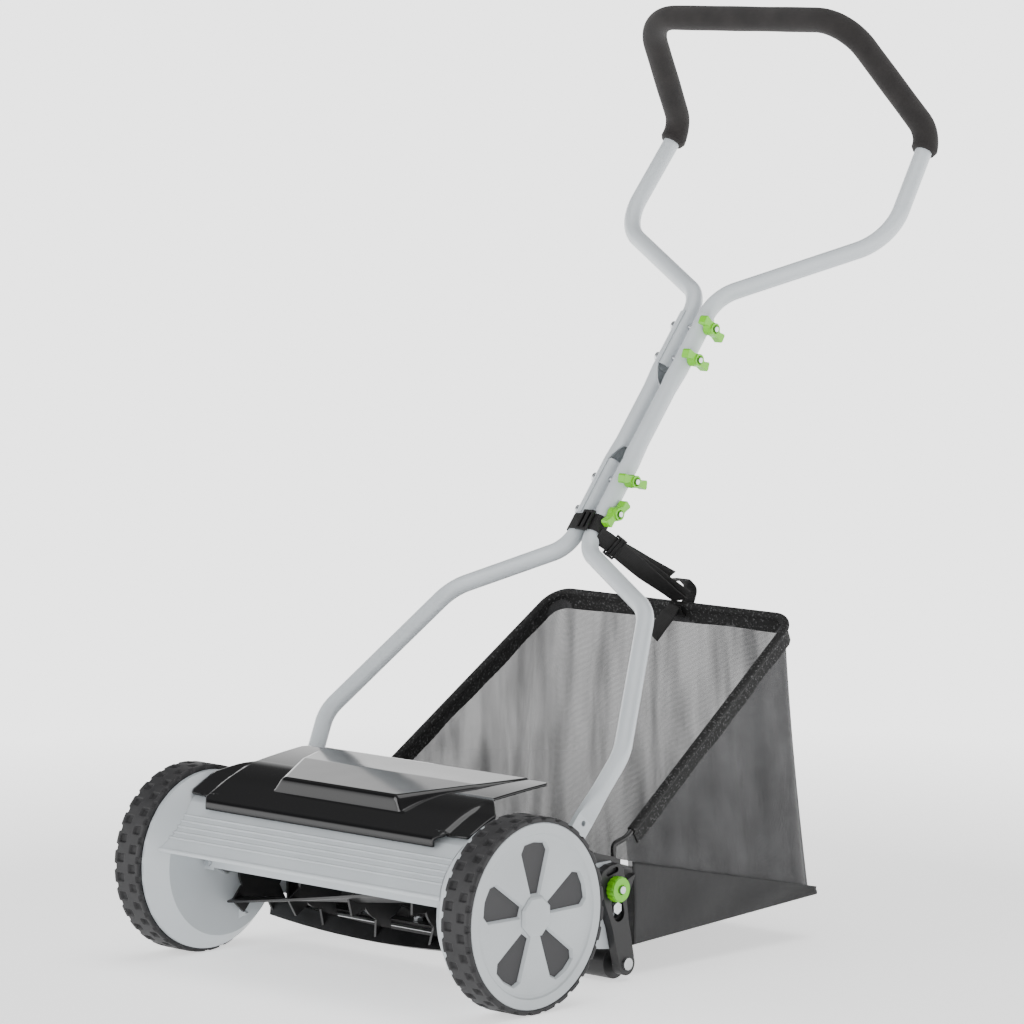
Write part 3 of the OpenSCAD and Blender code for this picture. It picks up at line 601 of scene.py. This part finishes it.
def tyre(side):
    """A ring swept round the axle: the section is a rounded band, and each point of it is drawn
    in towards the bead by the depth of the pocket there."""
    low, high = corners("tyre_" + side)
    axle = (low[2] + high[2]) / 2
    outer = (high[2] - low[2]) / 2
    bead = outer - 0.0055
    inner_x, outer_x = sorted(np.abs([low[0], high[0]]))
    mid = (inner_x + outer_x) / 2
    fillet = 0.0022
    turn = np.linspace(0, math.pi / 2, 6)
    wall = np.linspace(bead, outer - fillet, 4)[:-1]
    flat = np.linspace(outer_x - fillet, inner_x + fillet, 44)[1:-1]
    x = np.concatenate([
        np.full(3, outer_x), outer_x - fillet + fillet * np.cos(turn), flat,
        inner_x + fillet - fillet * np.sin(turn), np.full(3, inner_x)])
    r = np.concatenate([
        wall, outer - fillet + fillet * np.sin(turn), np.full(len(flat), outer),
        outer - fillet + fillet * np.cos(turn), wall[::-1]])
    angle = np.linspace(0, 2 * math.pi, LUGS * 26, endpoint=False)[:, None]
    rows = [(0.0088, 0.0105, 0.0095, 0.0), (-0.0088, 0.0105, 0.0095, 0.5),
            (0.019, 0.0085, 0.0075, 0.5), (-0.019, 0.0085, 0.0075, 0.0)]
    cut = np.max([pockets(angle, x[None], mid, *row) for row in rows], axis=0)
    share = (r - bead) / (outer - bead)
    r = r - cut * share * POCKET_DEPTH
    sign = 1 if side == "right" else -1
    x = np.broadcast_to(sign * x, r.shape)
    points = np.stack([x, -sign * r * np.sin(angle), axle + r * np.cos(angle)], -1)
    lengths = (np.linspace(0, 2 * math.pi * outer, len(angle) + 1),
               np.arange(r.shape[1] + 1) * 0.001)
    piece = surface("tread_" + side, points, (True, True), lengths)
    return settle(piece, "wheel_" + side, "tread", "tyre_" + side)


# ------------------------------------------------------------------ top cover


def cover_height(y):
    """Outer skin of the cover over y: a slope, a parabola and a long flat arch (millimetres)."""
    front = 176 + 0.5 * (y + 52)
    middle = 190 + (y + 24) * 0.5 - (y + 24) ** 2 * 0.00345
    back = 206.9 + (y - 30) * 0.127 - (y - 30) ** 2 * 0.0004
    return np.where(y < -24, front, np.where(y < 30, middle, back))


SCOOP_Y = [-24.5, 52, 105.7]
LIP_Y = -49.4
LIP_RADIUS = 2.6


def scoop_height(x, y):
    """Raised scoop: the lowest of its top plane, its flaring sides and its steep front."""
    top = np.interp(y, [-20, 52, 105.7], [205.5, 212.6, 215.2])
    half = np.interp(y, SCOOP_Y, [81, 128, 150])
    side = top - (np.abs(x) - half) * np.interp(y, SCOOP_Y, [1.26, 2.1, 1.6])
    front = 205.5 + (y + 20) * 4.4
    return soft_min(soft_min(top, side, 4.0), front, 4.0)


def cover():
    """The cover over a grid of (share across, y). The middle columns spread with the scoop's top,
    the next ones with its sides, and the rest reach the edge, which steps out at the wings. The
    front rows roll down into the lip."""
    lip = np.linspace(math.pi / 2, 0, 7)
    y = np.concatenate([LIP_Y - LIP_RADIUS * np.sin(lip)[:-1], np.linspace(LIP_Y, -42, 7)[:-1],
                        np.linspace(-42, -40, 7)[:-1], np.linspace(-40, -30, 10)[:-1],
                        np.linspace(-30, -12, 44)[:-1], np.linspace(-12, 106, 90)])
    drop = np.concatenate([LIP_RADIUS * (1 - np.cos(lip[:-1])), np.zeros(len(y) - 6)])
    y = np.concatenate([[-52, -52], y])
    drop = np.concatenate([[8, 5], drop])
    edge = np.interp(y, [-52, -49, -45, -41.8, -40.6, -36, -2, 27, 60, 101, 106],
                     [168, 172.5, 174.6, 175.2, 203.5, 206.8, 207.4, 176.2, 178.6, 181, 176.8])
    crest = np.interp(y, SCOOP_Y, [76, 123, 145])
    foot = np.interp(y, SCOOP_Y, [104, 140, 162])
    share = np.concatenate([np.linspace(0, 1, 30), np.linspace(1, 2, 28)[1:],
                            np.linspace(2, 3, 44)[1:]])
    share = np.concatenate([-share[:0:-1], share])
    knots = np.stack([0 * y, crest, foot, edge], 1)
    x = np.stack([np.interp(np.abs(share), [0, 1, 2, 3], row) for row in knots]) * np.sign(share)
    y, drop = y[:, None] + 0 * x, drop[:, None]
    base = cover_height(y)
    wing = smooth_step(np.abs(x), 172, 178) * smooth_step(-y, -20, 4) * 3.2
    z = soft_max(base - wing, scoop_height(x, y), 2.4) - drop
    piece = surface("gloss_cover", np.stack([x, y, z], -1) * MM)
    add_modifier(piece, "SOLIDIFY", thickness=0.003, offset=-1)
    return settle(piece, "chassis", "cover_gloss", "top_cover")


# ------------------------------------------------------------------ handle grip

BEND_1 = np.array([196.2, 633.9, 756.9]) * MM
BEND_2 = np.array([184.1, 716.5, 868.4]) * MM
BEND_3 = np.array([144.7, 615.8, 995.5]) * MM
MIRROR = np.array([-1, 1, 1])


def grip():
    """A foam sleeve along the upper loop: a ring of radius that swells and dips by a fraction of a
    millimetre, with rolled ends and a slight flare."""
    start = BEND_2 + (BEND_1 - BEND_2) * 0.165
    line = [start, BEND_2, BEND_3, BEND_3 * MIRROR, BEND_2 * MIRROR, start * MIRROR]
    path, gone = route(line, [0.028, 0.052, 0.052, 0.028], 0.004)
    inner, outer = 0.0095, 0.0139
    end = np.minimum(gone, gone[-1] - gone)
    radius = outer + 0.00022 * np.sin(gone * 61) * np.sin(gone * 23 + 1)
    radius = radius + 0.0009 * (1 - smooth_step(end, 0, 0.02))
    roll = 1 - np.sqrt(np.clip(1 - (1 - np.clip(end / 0.003, 0, 1)) ** 2, 0, 1))
    radius = radius - roll * (outer - inner) * 0.55
    skin = ring(1, 40)[None] * radius[:, None, None]
    points = carry(path, skin, (0, 1, 0))
    edge = carry(path, ring(inner, 40), (0, 1, 0))
    points = np.concatenate([edge[:1], points, edge[-1:]])
    lengths = (np.concatenate([gone[:1], gone, gone[-1:], gone[-1:]]), around(ring(outer, 40)))
    piece = surface("grip_sleeve", points, (False, True), lengths, caps=True)
    settle(piece, "chassis", "foam", "foam_grip")
    return piece


# ------------------------------------------------------------------ grass catcher

RIM_LOW = np.array([197, 206, 149]) * MM
RIM_TOP = np.array([176, 498, 350]) * MM
FLOOR_FRONT = np.array([199, 215, 34]) * MM
FLOOR_BACK = np.array([199, 513, 48]) * MM
TRAY_Z = (0.122, 0.056)
HEM_WIDTH = 0.0175


def rim_path(step, shift=0.03):
    """The catcher's wire from its near low end, over the top bar, to the far low end."""
    low = RIM_LOW + (RIM_TOP - RIM_LOW) * shift
    line = [low, RIM_TOP, RIM_TOP * MIRROR, low * MIRROR]
    return route(line, [0.026, 0.026], step)


def bag_frame(count_side, count_back):
    """Matching points along the rim and along the floor edge, and the way out of the bag there."""
    rim, gone = rim_path(0.002, 0.0)
    share = gone / gone[-1]
    turn = np.array([np.argmin(np.linalg.norm(rim - RIM_TOP * m, axis=1)) for m in (1, MIRROR)])
    stops = [0, share[turn[0]], share[turn[1]], 1]
    counts = (count_side, count_back, count_side)
    at = np.concatenate([np.linspace(a, b, n, endpoint=False)
                         for a, b, n in zip(stops, stops[1:], counts)] + [[1.0]])
    upper = np.stack([np.interp(at, share, rim[:, k]) for k in range(3)], 1)
    floor = np.array([FLOOR_FRONT, FLOOR_BACK, FLOOR_BACK * MIRROR, FLOOR_FRONT * MIRROR])
    lower = np.stack([np.interp(at, stops, floor[:, k]) for k in range(3)], 1)
    round_by = np.exp(-((at[:, None] - np.array(stops[1:3])) / 0.016) ** 2).sum(1, keepdims=True)
    lower = lower + round_by * (np.array([0, 0.36, 0.04]) - lower) * np.array([0.03, 0.04, 0])
    out = np.stack([np.interp(at, [0, stops[1] - 0.02, stops[1] + 0.02, stops[2] - 0.02,
                                   stops[2] + 0.02, 1], v)
                    for v in ([1, 1, 0, 0, -1, -1], [0.05, 0.05, 1, 1, 0.05, 0.05])], 1)
    out = unit(np.hstack([out, np.zeros((len(at), 1))]))
    return at, upper, lower, out


def folds(at, down):
    """Soft upright folds: narrow waves whose height grows from the rim and dies at the floor."""
    waves = (np.sin(at * 71 + 0.6) * 0.55 + np.sin(at * 113 + 2.1 + down * 1.7) * 0.35
             + np.sin(at * 37 + down * 2.2) * 0.6)
    creases = sum(d * np.exp(-((at - a - lean * down) / w) ** 2) for a, w, d, lean in
                  ((0.70, 0.006, -1.6, 0.02), (0.745, 0.010, 1.2, -0.01),
                   (0.615, 0.012, 1.4, 0.01), (0.50, 0.016, -1.2, 0.005),
                   (0.38, 0.018, 1.1, -0.01), (0.22, 0.012, -0.8, 0.02)))
    return (waves * 0.0026 + creases * 0.0036) * np.sin(np.clip(down, 0, 1) * math.pi) ** 0.7


def bag_walls():
    """Side and back walls: a ruled sheet from the rim to the tray's seam, pushed in and out by its
    folds, bellied a little under its own weight."""
    at, upper, lower, out = bag_frame(90, 110)
    seam_z = np.interp(lower[:, 1], [FLOOR_FRONT[1], FLOOR_BACK[1]], TRAY_Z) - 0.006
    whole = (upper[:, 2] - seam_z) / (upper[:, 2] - lower[:, 2])
    down = np.linspace(0, 1, 90)[None]
    t = (whole[:, None] * down)[..., None]
    flat = upper[:, None] * (1 - t) + lower[:, None] * t
    belly = np.sin(down * math.pi) * 0.003 * np.minimum(1, whole[:, None] * 3)
    push = folds(at[:, None], down) - belly
    points = flat + out[:, None] * push[..., None]
    run = gone_along((upper + lower) / 2)
    lengths = (np.append(run, run[-1]), np.linspace(0, 0.31, 91))
    piece = surface("catcher_walls", points[:, ::-1], lengths=lengths)
    settle(piece, "catcher", "mesh_cloth", "catcher_mesh")
    return piece, flat


def sheet_area(points):
    """Area of a grid of points: half the cross products of both triangles of each quad."""
    a, b, c, d = points[:-1, :-1], points[1:, :-1], points[1:, 1:], points[:-1, 1:]
    return 0.5 * (np.linalg.norm(np.cross(b - a, c - a), axis=-1)
                  + np.linalg.norm(np.cross(c - a, d - a), axis=-1)).sum()


def bag_tray():
    """Coated tray: the side and back strips below the seam, and the floor between them, one grid
    from the near seam down, across the floor and up the far side."""
    y = np.linspace(0, 1, 70)[:, None]
    edge = FLOOR_FRONT + (FLOOR_BACK - FLOOR_FRONT) * y
    seam_z = TRAY_Z[0] + (TRAY_Z[1] - TRAY_Z[0]) * y
    lean = (RIM_LOW[0] - FLOOR_FRONT[0]) * (seam_z - edge[:, 2:]) / 0.12
    top = np.hstack([edge[:, :1] + lean, edge[:, 1:2], seam_z])
    fall = np.linspace(0, 1, 22)[None, :-1, None]
    wall = top[:, None] * (1 - fall) + edge[:, None] * fall
    ripple = 0.0016 * np.sin(y[:, None] * 17 + fall * 3) * np.sin(fall * math.pi)
    wall = wall + ripple * np.array([1, 0, 0])
    across = np.cos(np.linspace(0, math.pi, 60))[None, :, None]
    floor = edge[:, None] * np.array([0, 1, 1]) + across * np.array([1, 0, 0]) * FLOOR_FRONT[0]
    sag = (1 - across[..., 0] ** 2) * (0.5 + 0.5 * np.sin(y * math.pi)) * 0.007
    sag = sag + 0.0012 * np.sin(y * 23 + across[..., 0] * 9) * (1 - across[..., 0] ** 4)
    floor = floor - sag[..., None] * np.array([0, 0, 1])
    points = np.concatenate([wall, floor, wall[:, ::-1] * MIRROR], axis=1)
    lengths = (np.linspace(0, 0.3, 71), np.linspace(0, 0.58, points.shape[1] + 1))
    piece = surface("tray_sheet", points[:, ::-1], lengths=lengths)
    add_modifier(piece, "SOLIDIFY", thickness=0.0008, offset=1)
    settle(piece, "catcher", "tray_cloth", "catcher_tray")
    return piece, points


def hem():
    """The rim's sleeve: round over the wire, then a flat doubled tape 17 mm into the bag's wall,
    puckered along its stitching."""
    path, gone = rim_path(0.003)
    a = np.linspace(-0.62 * math.pi, 0.62 * math.pi, 22)
    tape = np.linspace(0.3, 1, 9)
    round_part = np.stack([-np.cos(a), np.sin(a)], 1) * 0.0046
    upper = np.stack([tape * HEM_WIDTH, 0.0018 - tape * 0.0006], 1)
    lower = np.stack([tape[::-1] * HEM_WIDTH, -0.0018 + tape[::-1] * 0.0006], 1)
    profile = np.concatenate([round_part, upper, lower])
    share = gone / gone[-1]
    corner = np.array([np.argmin(np.linalg.norm(path - RIM_TOP * m, axis=1)) for m in (1, MIRROR)])
    blend = smooth_step(share, share[corner[0]] - 0.03, share[corner[0]] + 0.03)
    blend = blend - smooth_step(share, share[corner[1]] - 0.03, share[corner[1]] + 0.03)
    side_way = np.array([0.0, 0.56, -0.83])
    back_way = np.array([0.0, 0.05, -1.0])
    way = side_way + (back_way - side_way) * blend[:, None]
    pucker = np.sin(gone * 640) * 0.00025 + np.sin(gone * 97 + 1) * 0.0005
    reach = np.clip(profile[:, 0] / HEM_WIDTH, 0, 1)
    profile = np.repeat(profile[None], len(path), 0)
    profile[..., 1] += pucker[:, None] * reach
    profile[..., 0] += (np.sin(gone * 41) * 0.0007)[:, None] * reach
    points = carry(path, profile, way)
    lengths = (np.append(gone, gone[-1]), around(profile[0]))
    piece = surface("rim_hem", points, (False, True), lengths, caps=True)
    return settle(piece, "catcher", "hem_cloth", "catcher_hem")


def catcher():
    """All the cloth of the catcher. The areas of the wall and tray sheets are worked out but not
    kept.
    """
    walls, flat = bag_walls()
    tray, tray_points = bag_tray()
    rim = hem()
    float(sheet_area(flat))
    float(min(sheet_area(tray_points), 0.58 * 0.3))


# ------------------------------------------------------------------ webbing

NECK = np.array([0, 343, 426.8]) * MM
NECK_WAY = np.array([0, 0.6294, 0.7771])
STRAP_W = 0.020
RUN = [np.array(p) * MM for p in ((26, 362.6, 434.6), (26, 375, 426.5), (14, 486, 366))]
RUN_WAY = (RUN[2] - RUN[1]) / np.linalg.norm(RUN[2] - RUN[1])
ACROSS = np.array([0.46, 0.54, 0.70])


def band_profile(wide, thick):
    """A flat strap's section: two straight faces joined by half-round selvedges."""
    a = np.linspace(-math.pi / 2, math.pi / 2, 5)
    edge = np.stack([np.cos(a) * thick / 2 + wide / 2 - thick / 2, np.sin(a) * thick / 2], 1)
    return np.concatenate([edge, -edge])


def band(name, path, gone, side, wide, thick=0.0016):
    """A strap carried along a path with its width along side."""
    profile = band_profile(wide, thick)
    points = carry(path, profile, side)
    lengths = (np.append(gone, gone[-1] + gone[1]), around(profile))
    return surface(name, points, (False, True), lengths, caps=True)


def neck_loop():
    """Webbing pulled round both neck tubes: two half rounds joined by flats, bulging a little."""
    a = np.linspace(0, 2 * math.pi, 120, endpoint=False)
    half_gap, radius = 0.0122, 0.0107
    x = np.cos(a) * radius + np.clip(np.cos(a) * 2.5, -1, 1) * half_gap
    out = np.sin(a) * radius + np.sin(a * 5) * 0.0002
    square = np.array([0, NECK_WAY[2], -NECK_WAY[1]])
    centre = NECK + NECK_WAY * 0.028
    path = centre + x[:, None] * np.array([1, 0, 0]) - out[:, None] * square
    path = path + (NECK_WAY * 0.001)[None] * np.sin(a * 2)[:, None]
    profile = band_profile(STRAP_W, 0.0014)
    points = carry(path, profile, NECK_WAY, closed=True)
    piece = surface("neck_strap", points, (True, True), (around(path), around(profile)))
    return settle(piece, "chassis", "webbing", "strap_loop")


def strap_run():
    """Three layers between the neck and the catcher's bar: a flap that ends above the bar, the
    lower layer that runs the whole way, and one between them. Each is a flat section carried along
    its own bent line, its width turning from slanting to level."""
    east = np.array([1.0, 0, 0])
    neck, slider, bar = RUN
    off = np.cross(ACROSS, RUN_WAY)
    off = off / np.linalg.norm(off) * (1 if off[2] > 0 else -1)
    middle = (slider + bar) / 2
    start = np.array([22.6, 351.5, 441.5]) * MM
    lines = {
        "run_upper": ([slider - RUN_WAY * 0.004 + off * 0.0011, middle + off * 0.003
                       + np.array([0, 0, 0.006]), bar + np.array([0.003, -0.012, 0.0185])],
                      ACROSS, ACROSS * 0.9 + east * 0.35),
        "run_lower": ([start, neck - off * 0.0005, slider - off * 0.001, middle - off * 0.001
                       - np.array([0, 0, 0.003]), np.array([11, 499, 356]) * MM],
                      ACROSS, east + np.array([0, 0.1, 0.25])),
        "run_middle": ([slider, middle + off * 0.001 + np.array([0, 0, 0.001]),
                        np.array([17, 498, 362]) * MM],
                       ACROSS, east + np.array([0, 0.2, 0.55])),
    }
    for name, (line, first, last) in lines.items():
        path, gone = route(line, [0.03] * (len(line) - 2), 0.0015)
        turn = smooth_step(gone / gone[-1], 0.25, 1)[:, None]
        piece = band(name, path, gone, first * (1 - turn) + last * turn, wide=0.0195, thick=0.0014)
        settle(piece, None, "webbing", "strap_run")
        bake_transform(piece)


def strap_end():
    """The strap that curls over from the flap, round the top bar, and the ribbed tail that hangs in
    front of it, bent to one side."""
    bar = np.array([0.013, RIM_TOP[1], RIM_TOP[2]])
    a = np.linspace(0, math.radians(-190), 40)
    ways = np.stack([np.zeros(40), np.cos(a), np.sin(a)], 1)
    curl = [np.array(p) * MM
            for p in ((17, 473, 381), (15.5, 500, 379.5), (14, 515, 368), (13, 509, 351))]
    curl, _ = route(curl, [0.009, 0.010], 0.0015)
    wrap = np.vstack([curl[:-1], bar + ways * 0.0108])
    tail = [wrap[-1], wrap[-1] + np.array([-0.003, -0.006, -0.010]),
            wrap[-1] + np.array([-0.014, -0.009, -0.024]),
            wrap[-1] + np.array([-0.024, -0.010, -0.036])]
    tail_path, _ = route(tail, [0.012, 0.02], 0.0015)
    path = np.vstack([wrap[:-1], tail_path])
    gone = gone_along(path)
    turn = smooth_step(gone, gone[len(wrap) - 6], gone[-1])[:, None]
    side = np.array([1.0, 0, 0]) * (1 - turn) + np.array([0.78, 0.1, -0.5]) * turn
    piece = band("bar_wrap", path, gone, side, wide=0.0185)
    return settle(piece, "catcher", "webbing", "strap_end")


# ------------------------------------------------------------------ scene


def lay_floor():
    """A wide plain floor under the wheels."""
    side = np.linspace(-14, 14, 3)
    x, y = np.meshgrid(side, side, indexing="ij")
    floor = surface("floor", np.stack([x, y, 0 * x], -1))
    floor.data.materials.append(pale_floor())


stand_camera()
light_studio()
lay_floor()
dress_frame(FINISHES)
for side in ("left", "right"):
    tyre(side)
cover()
grip()
catcher()
neck_loop()
strap_run()
strap_end()
